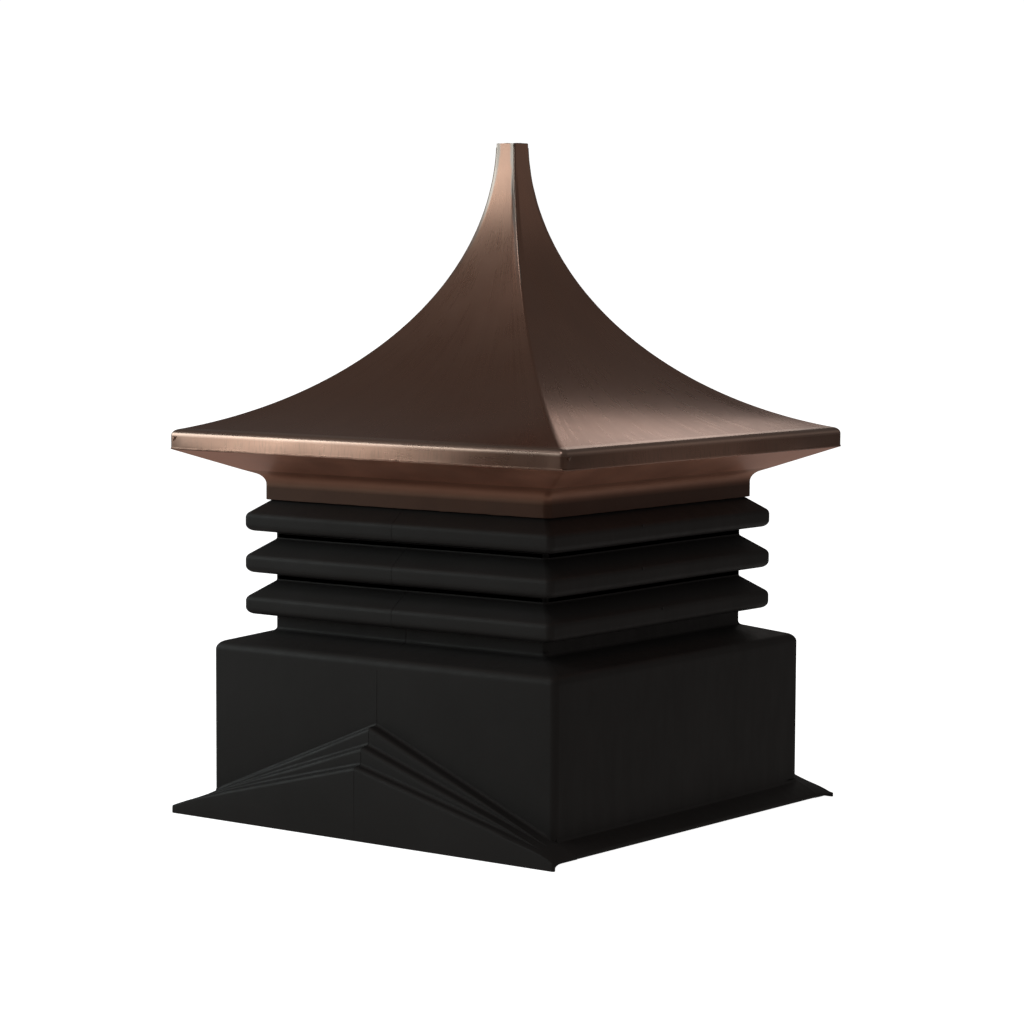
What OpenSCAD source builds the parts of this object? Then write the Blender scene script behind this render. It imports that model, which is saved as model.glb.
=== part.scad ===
// Louvred cupola for the ridge of a small pitched roof, in millimetres.
// A moulded black body (saddle skirt, square base, shoulder and three courses
// of louvres) carries a hipped copper roof with a swept, concave profile.
// Frame: origin on the floor at the centre, +Z up, front and back (-Y and +Y)
// are the gable ends with the stepped saddle, left and right the eave sides.

/* [Overall] */
// Width of the copper roof across its eaves
eave_w = 563.5; // [520:0.5:690]
// Height from the skirt's bottom edge to the top of the roof's neck
total_h = 778; // [740:1:960]

/* [Base] */
// Width of the square base across its walls
base_w = 493.5; // [460:0.5:600]
// Height of the base's outer top edge, where the shoulder starts
base_top_z = 198; // [170:0.5:240]
// Thickness of the moulded skin
skin = 4; // [3:0.5:6]
// Radius of the upright corners of the base and the louvres
corner_r = 8; // [5:0.5:12]
// Slope of the shoulder, in degrees
shoulder_deg = 15.6; // [8:0.1:20]

/* [Saddle skirt] */
// Height at which the skirt leaves the foot of the base walls
foot_z = 21.5; // [18:0.5:30]
// Reach of the eave flanges beyond the base walls
flange_reach = 27; // [20:0.1:40]
// Rises, in parts of twelve: first that of the eave flanges
flange_rise = 4; // [3:0.5:5]
// Rise of the upper step
upper_rise = 5; // [4.8:0.1:6]
// Rise of the middle step
middle_rise = 4; // [3.8:0.1:4.5]
// Rise of the lower step
lower_rise = 3; // [2:0.1:3.5]
// Depth of the upper step's ledge
upper_ledge = 14.5; // [12:0.5:22]
// Depth of the middle step's ledge
middle_ledge = 13.5; // [10:0.5:18]
// Depth of the lower step's ledge
lower_ledge = 12; // [10:0.5:18]
// Radius of the returns between the gable plates and the flanges' edges
return_r = 6; // [2:0.5:7]

/* [Louvres] */
// Width of the neck behind the louvres
neck_w = 391; // [360:1:430]
// Projection of each louvre from the neck
louvre_reach = 26.5; // [20:0.5:32]
// Height of each louvre where it meets the neck
louvre_h = 39; // [34:0.5:44]
// Spacing of the courses
louvre_pitch = 48.5; // [46:0.5:56]
// Slope of the louvres' tops, in degrees
louvre_deg = 36.5; // [30:0.5:42]
// Radius of the louvres' noses
nose_r = 8; // [5:0.5:9]

/* [Copper roof] */
// Thickness of the copper sheet
copper_t = 1.5; // [1:0.1:2]
// Width of the frieze that hangs round the top of the neck
frieze_w = 410; // [400:1:490]
// Height of the frieze's lower edge
frieze_z = 364.5; // [350:0.5:440]
// Height of the frieze
frieze_h = 27; // [20:0.5:40]
// Height of the fascia's lower edge
fascia_z = 423.3; // [405:0.1:500]
// Height of the fascia at the face of the eave
fascia_h = 21.6; // [16:0.2:30]
// Radius of the sweep of the roof
sweep_r = 347; // [345:1:420]
// Width of the neck at its open top
roof_neck_w = 27.2; // [20:0.2:40]

/* [Hidden] */
SIDES = ["front", "right", "back", "left"];
COURSES = ["upper_louvre", "middle_louvre", "lower_louvre"];
EVERY_SIDE = [
    "base_wall", "shoulder", "neck_wall", "upper_louvre", "middle_louvre", "lower_louvre",
    "frieze", "soffit", "fascia", "roof_panel"
];

twelfths = 12;
turn = 90;
fine = 64;
very_fine = 360;
slack = 1;

plastic = "#262626";
copper = "#8a6450";

// Half widths, from the centre line
base_out = base_w / 2;
base_in = base_out - skin;
neck_out = neck_w / 2;
neck_in = neck_out - skin;
nose_out = neck_out + louvre_reach;
frieze_out = frieze_w / 2;
eave_out = eave_w / 2;
eave_in = eave_out - copper_t;
flange_out = base_out + flange_reach;
roof_neck_out = roof_neck_w / 2;

// Faces of the three saddle steps, from the centre line
upper_face = base_out + upper_ledge;
middle_face = upper_face + middle_ledge;
lower_face = middle_face + lower_ledge;
STEPS = [[upper_rise, upper_face], [middle_rise, middle_face], [lower_rise, lower_face]];

// Heights of the shoulder's top face
shoulder_fall = tan(shoulder_deg);
shoulder_drop = skin / cos(shoulder_deg);
function shoulder_z(out) = base_top_z + (base_out - out) * shoulder_fall;

// Top of the moulded body, where the roof sits
body_top_z = frieze_z + frieze_h;

// The soffit rises from the frieze to the inside of the fascia
soffit_end_z = fascia_z + copper_t;
soffit_deg = atan((soffit_end_z - body_top_z) / (eave_in - frieze_out));
soffit_thick = copper_t / cos(soffit_deg);

// The sweep is one arc, upright at the neck and flattest at the eave
sweep_x = roof_neck_out + sweep_r;
eave_top_z = fascia_z + fascia_h;
sweep_z = eave_top_z + sqrt(pow(sweep_r, 2) - pow(sweep_x - eave_out, 2));

// The first louvre starts a little above the frieze's lower edge, behind it
louvre_lap = 2.7;
upper_louvre_z = frieze_z + louvre_lap;

wedge_reach = eave_w;

// Quarter of the plan that belongs to the front side, between the mitres
module front_quarter() {
    polygon([[0, 0], [-wedge_reach, -wedge_reach], [wedge_reach, -wedge_reach]]);
}

// Runs a section, drawn as [distance out, height], along the front side
// and mitres it at both corners
module mitred() {
    intersection() {
        rotate([90, 0, -90])
            linear_extrude(2 * wedge_reach, center = true)
                children();
        linear_extrude(2 * total_h)
            front_quarter();
    }
}

// Square with rounded corners, given by its half width
module rounded_square(half, r) {
    square([2 * half, 2 * (half - r)], center = true);
    square([2 * (half - r), 2 * half], center = true);
    for (x = [-1, 1]) {
        for (y = [-1, 1]) {
            translate([x * (half - r), y * (half - r)])
                circle(r, $fn = fine);
        }
    }
}

// Upright sheet of a rounded square tube, front side only
module upright_sheet(half, thick, r, low, high) {
    translate([0, 0, low])
        linear_extrude(high - low)
            intersection() {
                difference() {
                    rounded_square(half, r);
                    rounded_square(half - thick, r - thick / 2);
                }
                front_quarter();
            }
}

// Height of a step's top at a distance from the ridge line: its own rise as
// far as the wall, then the flanges' rise
function step_z(rise, x) = x < base_out
    ? foot_z + (base_out - x) * rise / twelfths
    : foot_z - (x - base_out) * flange_rise / twelfths;

// The skirt's skin, measured upright on the slope of the flanges
skin_drop = skin / cos(atan(flange_rise / twelfths));

// Height of the underside of the skirt's outer rim on the eave sides
rim_under_z = step_z(lower_rise, flange_out) - skin_drop;

// Upright outline under a step's top, lowered by a drop
module step_outline(rise, half, low, drop) {
    polygon([
        [-half, low],
        [half, low],
        [half, step_z(rise, half) - drop],
        [base_out, foot_z - drop],
        [0, step_z(rise, 0) - drop],
        [-base_out, foot_z - drop],
        [-half, step_z(rise, half) - drop]
    ]);
}

// Extrudes an upright outline from one distance out to another, front side
module upright_slab(from, to) {
    translate([0, -from, 0])
        rotate([90, 0, 0])
            linear_extrude(to - from)
                children();
}

// Stepped gable end of the skirt: three ledges at three roof pitches, and
// one plate down to the floor
module saddle() {
    color(plastic) {
        difference() {
            for (s = STEPS) {
                upright_slab(base_in, s[1])
                    step_outline(s[0], flange_out, 0, 0);
            }
            for (s = STEPS) {
                upright_slab(base_in - slack, s[1] - skin)
                    step_outline(s[0], flange_out + slack, -slack, skin_drop);
            }
        }
        for (side = [-1, 1]) {
            translate([side * (flange_out - skin / 2), -(lower_face - skin), rim_under_z])
                rotate([90, 0, 90])
                    linear_extrude(skin, center = true)
                        saddle_return(min(return_r, rim_under_z));
        }
    }
}

// Concave fillet behind the lower plate, in the angle under the ledge
module saddle_return(r) {
    root = skin / 2;
    difference() {
        translate([-root, -r])
            square(r + root);
        translate([r, -r])
            circle(r, $fn = fine);
    }
}

// Sloping flange that lies on the roof along one eave side
module flange() {
    edge_z = step_z(flange_rise, flange_out);
    color(plastic)
        rotate([90, 0, -90])
            linear_extrude(2 * base_in, center = true)
                polygon([
                    [base_in, foot_z - skin_drop],
                    [base_out, foot_z - skin_drop],
                    [flange_out, edge_z - skin_drop],
                    [flange_out, edge_z],
                    [base_out, foot_z],
                    [base_in, foot_z]
                ]);
}

// Section of the base walls: they end under the shoulder's sloping sheet
module base_wall_section() {
    polygon([
        [base_in - slack, foot_z],
        [base_out + slack, foot_z],
        [base_out + slack, shoulder_z(base_out + slack) - shoulder_drop],
        [base_in - slack, shoulder_z(base_in - slack) - shoulder_drop]
    ]);
}

// Wall of the base. It starts on the upper step of the saddle: all along on
// the gable sides, and at both ends, round the corners, on the eave sides
module base_wall(gable) {
    cut_from = gable ? base_in - slack : base_in;
    color(plastic)
        difference() {
            intersection() {
                upright_sheet(base_out, skin, corner_r, foot_z, base_top_z + skin);
                mitred()
                    base_wall_section();
            }
            for (corner = gable ? [0] : [-turn, turn]) {
                rotate(corner)
                    upright_slab(cut_from, base_out + slack)
                        step_outline(upper_rise, flange_out, 0, 0);
            }
        }
}

// Sloping shoulder between the base and the neck
module shoulder() {
    color(plastic)
        intersection() {
            mitred()
                polygon([
                    [neck_in, shoulder_z(neck_in) - shoulder_drop],
                    [base_out, shoulder_z(base_out) - shoulder_drop],
                    [base_out, shoulder_z(base_out)],
                    [neck_in, shoulder_z(neck_in)]
                ]);
            linear_extrude(total_h)
                rounded_square(base_out, corner_r);
        }
}

// Upright wall of the neck, which carries the louvres and the roof
module neck_wall() {
    color(plastic)
        mitred()
            polygon([
                [neck_in, shoulder_z(neck_in)],
                [neck_out, shoulder_z(neck_out)],
                [neck_out, body_top_z],
                [neck_in, body_top_z]
            ]);
}

// Section of a louvre: sloping top, round nose and flat underside
module louvre_section(top_z) {
    under_z = top_z - louvre_h;
    nose_x = nose_out - nose_r;
    over = (nose_x - neck_out) * sin(louvre_deg);
    nose_z = top_z - (nose_r + over) / cos(louvre_deg);
    polygon([
        [neck_out, under_z],
        [nose_x, under_z],
        [nose_out, under_z + nose_r],
        [nose_out, nose_z],
        [nose_x + nose_r * sin(louvre_deg), nose_z + nose_r * cos(louvre_deg)],
        [neck_out, top_z]
    ]);
    translate([nose_x, nose_z])
        circle(nose_r, $fn = fine);
    translate([nose_x, under_z + nose_r])
        circle(nose_r, $fn = fine);
}

// One side of a course of louvres
module louvre(course) {
    color(plastic)
        intersection() {
            mitred()
                louvre_section(upper_louvre_z - course * louvre_pitch);
            linear_extrude(total_h)
                rounded_square(nose_out, corner_r);
        }
}

// Copper band that hangs round the top of the neck
module frieze() {
    color(copper)
        upright_sheet(frieze_out, copper_t, corner_r, frieze_z, body_top_z);
}

// Copper soffit: a flat landing on the body, then a slope out to the fascia
module soffit() {
    color(copper)
        mitred()
            polygon([
                [neck_in, body_top_z],
                [frieze_out, body_top_z],
                [eave_in, soffit_end_z],
                [eave_in, soffit_end_z + soffit_thick],
                [frieze_out, body_top_z + soffit_thick],
                [neck_in, body_top_z + soffit_thick]
            ]);
}

// Disc that the swept roof is hollowed by, in section
module sweep_disc(r) {
    translate([sweep_x, sweep_z])
        circle(r, $fn = very_fine);
}

// Folded copper fascia, up to the underside of the roof sheet
module fascia() {
    color(copper)
        mitred()
            difference() {
                translate([eave_in, fascia_z])
                    square([copper_t, 2 * fascia_h]);
                sweep_disc(sweep_r + copper_t);
            }
}

// One swept copper sheet of the roof, from the eave to the open neck
module roof_panel() {
    color(copper)
        mitred() {
            intersection() {
                difference() {
                    sweep_disc(sweep_r + copper_t);
                    sweep_disc(sweep_r);
                }
                square([eave_out, min(sweep_z, total_h)]);
            }
            if (sweep_z < total_h) {
                translate([roof_neck_out - copper_t, sweep_z])
                    square([copper_t, total_h - sweep_z]);
            }
        }
}

saddle();  // front_saddle
rotate(2 * turn) saddle();  // back_saddle
rotate(turn) flange();  // right_flange
rotate(-turn) flange();  // left_flange
for (i = [0:3]) {
    rotate(i * turn) {
        base_wall(i % 2 == 0);
        shoulder();
        neck_wall();
        louvre(0);
        louvre(1);
        louvre(2);
        frieze();
        soffit();
        fascia();
        roof_panel();
    }
}
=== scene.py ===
import math

import bmesh
import bpy
from mathutils import Matrix, Vector, noise


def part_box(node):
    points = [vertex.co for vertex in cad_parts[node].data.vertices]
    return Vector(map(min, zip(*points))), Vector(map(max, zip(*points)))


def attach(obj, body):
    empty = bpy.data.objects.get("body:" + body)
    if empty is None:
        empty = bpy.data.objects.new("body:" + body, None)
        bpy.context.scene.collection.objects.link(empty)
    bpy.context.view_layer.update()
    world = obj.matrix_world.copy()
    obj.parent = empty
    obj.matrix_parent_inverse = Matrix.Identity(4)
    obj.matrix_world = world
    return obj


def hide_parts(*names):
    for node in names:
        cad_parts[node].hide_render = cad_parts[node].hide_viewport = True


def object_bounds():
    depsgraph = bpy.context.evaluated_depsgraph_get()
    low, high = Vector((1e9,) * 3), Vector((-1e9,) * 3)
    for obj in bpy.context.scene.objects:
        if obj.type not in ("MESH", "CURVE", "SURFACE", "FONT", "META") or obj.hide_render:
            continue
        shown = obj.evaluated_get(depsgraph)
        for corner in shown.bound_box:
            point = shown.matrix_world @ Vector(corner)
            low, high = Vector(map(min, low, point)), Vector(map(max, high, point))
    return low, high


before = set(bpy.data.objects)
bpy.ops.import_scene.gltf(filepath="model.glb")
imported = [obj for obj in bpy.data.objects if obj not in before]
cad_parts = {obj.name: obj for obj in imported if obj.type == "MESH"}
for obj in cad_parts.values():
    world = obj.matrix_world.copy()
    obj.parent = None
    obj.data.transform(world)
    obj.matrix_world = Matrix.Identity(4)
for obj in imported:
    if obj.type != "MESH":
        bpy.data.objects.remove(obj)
cad_low, cad_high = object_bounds()


# ---- Saddle skirt at the two gable ends ---------------------------------
# Part of the rotationally moulded black body: three ledges at three roof
# pitches, one behind the other, and a front plate down to the floor. It is
# moulded in one with the walls, so every edge is softly rounded.

MM = 0.001
SHARP_TURN = math.radians(32)
TWELFTH = 1 / 12
FACES_JOINED = 0.002 * MM

flange_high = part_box("right_flange")[1]
WALL_OUT = -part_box("front_base_wall")[0].y
SKIN = 4 * MM
WALL_IN = WALL_OUT - SKIN
FLANGE_OUT = flange_high.x
FOOT_Z = flange_high.z
LEDGES = (14.5 * MM, 13.5 * MM, 12 * MM)
RISES = (5 * TWELFTH, 4 * TWELFTH, 3 * TWELFTH)
FLANGE_RISE = 4 * TWELFTH
SIDES = ("front", "right", "back", "left")


def rounded(corners, steps=12):
    """Points of an outline given by its corners (out, height, radius).

    A corner with no radius gives one point, any other gives steps + 1.
    """
    points = []
    count = len(corners)
    for i, (x, z, *given) in enumerate(corners):
        here = Vector((x, z))
        back = Vector(corners[i - 1][:2]) - here
        ahead = Vector(corners[(i + 1) % count][:2]) - here
        if not given:
            points.append((x, z))
            continue
        radius = given[0]
        if min(radius, back.length, ahead.length) < FACES_JOINED / 2:
            points.extend([(x, z)] * (steps + 1))
            continue
        inside = back.angle(ahead)
        reach = min(radius / math.tan(inside / 2), back.length, ahead.length)
        radius = reach * math.tan(inside / 2)
        start = here + back.normalized() * reach
        end = here + ahead.normalized() * reach
        bisector = (back.normalized() + ahead.normalized()).normalized()
        centre = here + bisector * math.hypot(reach, radius)
        from_angle = math.atan2(start.y - centre.y, start.x - centre.x)
        turn = math.atan2(end.y - centre.y, end.x - centre.x) - from_angle
        turn = (turn + math.pi) % (2 * math.pi) - math.pi
        for step in range(steps + 1):
            angle = from_angle + turn * step / steps
            points.append((centre.x + radius * math.cos(angle),
                           centre.y + radius * math.sin(angle)))
    return points


def turned(x, y, z, side):
    """A point drawn on the front side, carried round to side 0 to 3."""
    for _ in range(side):
        x, y = -y, x
    return Vector((x, y, z))


def lofted(name, rings, along, closed_path=False):
    """Closed mesh through equal rings; its sheet map holds the lengths."""
    bm = bmesh.new()
    sheet = bm.loops.layers.uv.new("sheet")
    rows = [[bm.verts.new(point) for point in ring] for ring in rings]
    count = len(rings[0])
    middle = rings[len(rings) // 2]
    lengths = [0.0]
    for j in range(count):
        lengths.append(lengths[-1] + (middle[(j + 1) % count] - middle[j]).length)
    last = len(rings) if closed_path else len(rings) - 1
    for i in range(last):
        here, there = rows[i], rows[(i + 1) % len(rows)]
        a, b = along[i], along[i + 1] if i + 1 < len(along) else along[0]
        for j in range(count):
            k = (j + 1) % count
            face = bm.faces.new((here[j], here[k], there[k], there[j]))
            spots = ((a, lengths[j]), (a, lengths[j + 1]),
                     (b, lengths[j + 1]), (b, lengths[j]))
            for loop, spot in zip(face.loops, spots):
                loop[sheet].uv = spot
    if not closed_path:
        bm.faces.new(rows[0])
        bm.faces.new(rows[-1])
    bmesh.ops.remove_doubles(bm, verts=bm.verts, dist=FACES_JOINED)
    bmesh.ops.dissolve_degenerate(bm, dist=FACES_JOINED / 2, edges=bm.edges)
    bmesh.ops.recalc_face_normals(bm, faces=bm.faces)
    for face in bm.faces:
        face.smooth = True
    for edge in bm.edges:
        edge.smooth = edge.calc_face_angle(0) < SHARP_TURN
    mesh = bpy.data.meshes.new(name)
    bm.to_mesh(mesh)
    bm.free()
    piece = bpy.data.objects.new(name, mesh)
    bpy.context.scene.collection.objects.link(piece)
    return piece


def fitted(piece, material, slot, *nodes):
    """Gives a piece its finish, hangs it on the root and hides the parts it replaces."""
    piece.data.materials.append(material)
    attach(piece, "root")
    if nodes:
        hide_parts(*nodes)
    return piece


def new_finish(name):
    """An empty node material with one shader on it."""
    material = bpy.data.materials.new(name)
    material.use_nodes = True
    tree = material.node_tree
    tree.nodes.clear()
    shader = tree.nodes.new("ShaderNodeBsdfPrincipled")
    output = tree.nodes.new("ShaderNodeOutputMaterial")
    tree.links.new(shader.outputs["BSDF"], output.inputs["Surface"])
    return material, tree, shader


def grain(tree, scale, detail, stretch=(1, 1, 1), map_name="Object", roughness=0.55):
    """Noise over the object's own place, or over the sheet's map."""
    place = tree.nodes.new("ShaderNodeTexCoord")
    mapping = tree.nodes.new("ShaderNodeMapping")
    mapping.inputs["Scale"].default_value = stretch
    texture = tree.nodes.new("ShaderNodeTexNoise")
    texture.inputs["Scale"].default_value = scale
    texture.inputs["Detail"].default_value = detail
    texture.inputs["Roughness"].default_value = roughness
    tree.links.new(place.outputs[map_name], mapping.inputs["Vector"])
    tree.links.new(mapping.outputs["Vector"], texture.inputs["Vector"])
    return texture.outputs["Fac"]


def spread(tree, value, low, high, from_low=0.3, from_high=0.7):
    """Stretches a value's middle range to low and high."""
    node = tree.nodes.new("ShaderNodeMapRange")
    node.inputs["From Min"].default_value = from_low
    node.inputs["From Max"].default_value = from_high
    node.inputs["To Min"].default_value = low
    node.inputs["To Max"].default_value = high
    tree.links.new(value, node.inputs["Value"])
    return node.outputs["Result"]


def blended(tree, factor, first, second, kind="MIX"):
    """Mixes two colours, each a colour or a socket."""
    node = tree.nodes.new("ShaderNodeMix")
    node.data_type = "RGBA"
    node.blend_type = kind
    tree.links.new(factor, node.inputs["Factor"])
    for socket, colour in (("A", first), ("B", second)):
        entry = [s for s in node.inputs if s.name == socket and s.type == "RGBA"][0]
        if isinstance(colour, tuple):
            entry.default_value = (*colour, 1)
        else:
            tree.links.new(colour, entry)
    return [s for s in node.outputs if s.type == "RGBA"][0]


def bumped(tree, shader, *layers):
    """Bump layers (height, strength, depth in metres) one on another."""
    before = None
    for height, strength, depth in layers:
        node = tree.nodes.new("ShaderNodeBump")
        node.inputs["Strength"].default_value = strength
        node.inputs["Distance"].default_value = depth
        tree.links.new(height, node.inputs["Height"])
        if before is not None:
            tree.links.new(before, node.inputs["Normal"])
        before = node.outputs["Normal"]
    tree.links.new(before, shader.inputs["Normal"])


def black_moulding():
    """Satin black plastic with the fine grain and faint clouds of a mould."""
    material, tree, shader = new_finish("satin_black_moulding")
    clouds = grain(tree, 9, 3)
    pores = grain(tree, 1400, 2)
    scuffs = grain(tree, 60, 6, (1, 1, 0.25))
    tone = blended(tree, spread(tree, clouds, 0, 1), (0.0255, 0.0235, 0.0225),
                   (0.031, 0.0285, 0.0275))
    tone = blended(tree, spread(tree, pores, 0, 0.35, 0.5, 0.8), tone, (0.042, 0.039, 0.0375))
    tree.links.new(tone, shader.inputs["Base Color"])
    tree.links.new(spread(tree, scuffs, 0.46, 0.58), shader.inputs["Roughness"])
    shader.inputs["Specular IOR Level"].default_value = 0.19
    shader.inputs["Specular Tint"].default_value = (1, 0.9, 0.85, 1)
    bumped(tree, shader, (pores, 0.1, 0.00012), (clouds, 0.25, 0.0008))
    return material


plastic = black_moulding()

step_faces = []
face_out = WALL_OUT
for ledge in LEDGES:
    face_out += ledge
    step_faces.append(face_out)
PLATE_OUT = step_faces[2]
PEAK_ROUND = 1.5 * MM
EDGE_ROUND = 5.5 * MM
PLATE_ROUND = 5 * MM
PLATE_INSIDE_ROUND = 3 * MM
FOOT_ROUND = 0.2 * MM
COVE = 4.2 * MM
WALL_LAP = 1 * MM
RISER_SHARE = 0.45
RIM_ROUND = 2.5 * MM
CORNER_DIP = 0.07
DIP_RUN = 60 * MM
SKIN_DROP = SKIN / math.cos(math.atan(FLANGE_RISE))
RIGHT_DROOP = 3 * MM
LEFT_DROOP = 1.3 * MM
SIDE_TILT = 1.3 * MM
FAR_DIP = 0.16
FAR_DIP_FROM = 150 * MM
FAR_DIP_RUN = 100 * MM
LEFT_REACH = 2.2 * MM
TILT_HALF = 250 * MM
SETTLE_RUN = 8 * MM
LEAST_HEIGHT = 0.45


def step_height(rise, x):
    """Height of a ledge's top, x from the ridge line."""
    across = math.hypot(x, PEAK_ROUND)
    if across < WALL_OUT:
        return FOOT_Z + (WALL_OUT - across) * rise
    return FOOT_Z - (across - WALL_OUT) * FLANGE_RISE


def eased(value):
    """0 to 1 with soft ends."""
    value = min(1.0, max(0.0, value))
    return value * value * (3 - 2 * value)


def settled(point):
    """The flanges' rims droop, the right one most and at its far corner.

    The left one stands a little further out instead.
    """
    past = min(1.0, max(0.0, abs(point.x) - WALL_OUT) / (FLANGE_OUT - WALL_OUT))
    change = -(RIGHT_DROOP if point.x > 0 else LEFT_DROOP) * past ** 2
    if point.x > 0:
        change -= point.y / TILT_HALF * SIDE_TILT * past
        behind = max(0.0, point.y - WALL_OUT)
        toward_corner = eased((point.x - FAR_DIP_FROM) / FAR_DIP_RUN) * (1 - 0.6 * past)
        change -= FAR_DIP * behind * toward_corner
    height = point.z + change * eased(point.z / SETTLE_RUN)
    out = -LEFT_REACH * past ** 2 if point.x < 0 else 0.0
    return Vector((point.x + out, point.y, max(height, point.z * LEAST_HEIGHT)))


def saddle_ring(x):
    """Section through the saddle, out from the wall, at x."""
    a, b, c = (step_height(rise, x) for rise in RISES)
    first, second, third = step_faces
    drop = SKIN_DROP
    over = max(0.0, abs(x) - (FLANGE_OUT - RIM_ROUND))
    rim = RIM_ROUND - math.sqrt(max(0.0, RIM_ROUND ** 2 - over ** 2))
    plate = third - rim / 2
    lap = WALL_OUT - WALL_LAP
    upper, lower = (a - b) * RISER_SHARE, (b - c) * RISER_SHARE
    fade = eased((WALL_OUT - 2 * MM - abs(x)) / (10 * MM))
    foot_cove = max(0.02 * MM, COVE * fade)
    corners = [
        (WALL_IN, a), (lap, a), (lap, a + foot_cove),
        (WALL_OUT, a + foot_cove), (WALL_OUT, a, foot_cove * 0.98),
        (first, a, min(EDGE_ROUND, upper)), (first, b, min(COVE, upper)),
        (second, b, min(EDGE_ROUND, lower)), (second, c, min(COVE, lower)),
        (plate, c, PLATE_ROUND), (plate, 0, FOOT_ROUND),
        (third - SKIN, 0, FOOT_ROUND), (third - SKIN, c - drop, PLATE_INSIDE_ROUND),
        (second - SKIN, c - drop), (second - SKIN, b - drop), (first - SKIN, b - drop),
        (first - SKIN, a - drop), (WALL_IN, a - drop),
    ]
    away = eased((abs(x) - WALL_OUT + DIP_RUN) / (DIP_RUN + SETTLE_RUN))
    ring = []
    for out, z in rounded(corners, 6):
        if z > c - drop / 2:
            z -= CORNER_DIP * max(0.0, out - WALL_OUT) * away + rim
        ring.append((out, z))
    return ring


near_peak = [0, 1, 2.2, 4, 8]
along_slope = list(range(20, 181, 20))
near_corner = [195, 205, 214, 222, 228, 233, 237, 240, 242.5, 244.4, 246.5, 250, 255, 260,
               264, 268, 270.5]
half_stations = [x * MM for x in near_peak + along_slope + near_corner]
rim_turns = [math.radians(turn) for turn in (0, 18, 36, 54, 68, 79, 86)]
half_stations += [FLANGE_OUT - RIM_ROUND * (1 - math.sin(turn)) for turn in rim_turns]
half_stations = sorted(set(half_stations))
stations = [-x for x in reversed(half_stations[1:])] + half_stations

for side in (0, 2):
    rings = []
    for x in stations:
        ring = []
        for out, z in saddle_ring(x):
            ring.append(settled(turned(x, -out, z, side)))
        rings.append(ring)
    saddle = lofted(SIDES[side] + "_saddle_skirt", rings, stations)
    fitted(saddle, plastic, "black_plastic", SIDES[side] + "_saddle")


# ---- Returns behind the saddle's front plates ---------------------------
# Small concave webs of the same moulding, in the angle between the front
# plate and the underside of the flanges' outer rim, at the four corners.

RETURN_REACH = 14 * MM
RETURN_FOOT = 0.3
RETURN_RISE = 0.68
RETURN_STEPS = 8
web_inner = PLATE_OUT - SKIN + 0.5 * MM
web_outer = PLATE_OUT - SKIN - RETURN_REACH


def web_point(at, out, part, side):
    """A point of a web, a part of the way up to the flange's underside."""
    under = step_height(RISES[2], at) - SKIN_DROP
    point = settled(turned(at, -out, under, side))
    point.z = max(0.0, point.z * part + 0.6 * MM * (part - 0.5))
    return point


for side in (0, 2):
    for end in (-1, 1):
        rings = []
        widths = (FLANGE_OUT - SKIN, FLANGE_OUT - 1.2 * MM, FLANGE_OUT - 0.4 * MM)
        for width in widths:
            at = end * width
            ring = [web_point(at, web_inner, 1.0, side),
                    web_point(at, web_inner, RETURN_FOOT, side)]
            for step in range(RETURN_STEPS + 1):
                angle = math.pi / 2 * step / RETURN_STEPS
                out = web_outer + RETURN_REACH * math.cos(angle)
                part = RETURN_FOOT + RETURN_RISE * math.sin(angle)
                ring.append(web_point(at, out, part, side))
            ring.append(web_point(at, web_outer, 1.1, side))
            rings.append(ring)
        name = f"{SIDES[side]}_return_{'left' if end < 0 else 'right'}"
        fitted(lofted(name, rings, widths), plastic, "black_plastic")


# ---- Sloping flanges along the two eave sides ---------------------------
# The skirt's flat side aprons, moulded in one with the walls, that lie on
# the roof slope at four in twelve and end in a rounded rim.

FLANGE_COVE = 4 * MM
SLOPE_STEP = 4 * MM
rim_z = FOOT_Z - (FLANGE_OUT - WALL_OUT) * FLANGE_RISE
slope = [(WALL_OUT + q * SLOPE_STEP, FOOT_Z - q * SLOPE_STEP * FLANGE_RISE)
         for q in range(2, 6)]
under_slope = [(out, z - SKIN_DROP) for out, z in reversed(slope)]

for side in (1, 3):
    section = rounded([
        (WALL_IN, FOOT_Z - SKIN_DROP), (WALL_IN, FOOT_Z),
        (WALL_OUT - WALL_LAP, FOOT_Z), (WALL_OUT - WALL_LAP, FOOT_Z + FLANGE_COVE),
        (WALL_OUT, FOOT_Z + FLANGE_COVE), (WALL_OUT, FOOT_Z, FLANGE_COVE), *slope,
        (FLANGE_OUT, rim_z, RIM_ROUND), (FLANGE_OUT, rim_z - SKIN_DROP, 0.4 * MM),
        *under_slope, (WALL_OUT, FOOT_Z - SKIN_DROP, 2 * MM),
    ])
    rings = []
    places = [WALL_IN * q / 12 for q in range(-12, 13)]
    for u in places:
        ring = []
        for out, z in section:
            ring.append(settled(turned(u, -out, z, side)))
        rings.append(ring)
    flange = lofted(SIDES[side] + "_eave_flange", rings, places)
    fitted(flange, plastic, "black_plastic", SIDES[side] + "_flange")


# ---- Walls of the square base -------------------------------------------
# Four upright moulded walls with softly rounded corners. The gable walls
# end on the saddle's upper ledge, the eave walls on the flanges.

WALL_WAVE = 0.45 * MM
WAVE_FROM = 26 * MM
WAVE_RUN = 30 * MM
BEND_STEPS = 12
bends = [math.radians(45 * step / BEND_STEPS) for step in range(BEND_STEPS + 1)]


def side_spots(runs):
    """Spots along a side: half a corner, the straight, half a corner."""
    spots = [(-1, bend) for bend in reversed(bends[1:])]
    spots += [(run, 0) for run in runs]
    return spots + [(1, bend) for bend in bends[1:]]


def even(count):
    """Evenly spaced values from -1 to 1."""
    return [-1 + 2 * step / count for step in range(count + 1)]


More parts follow.
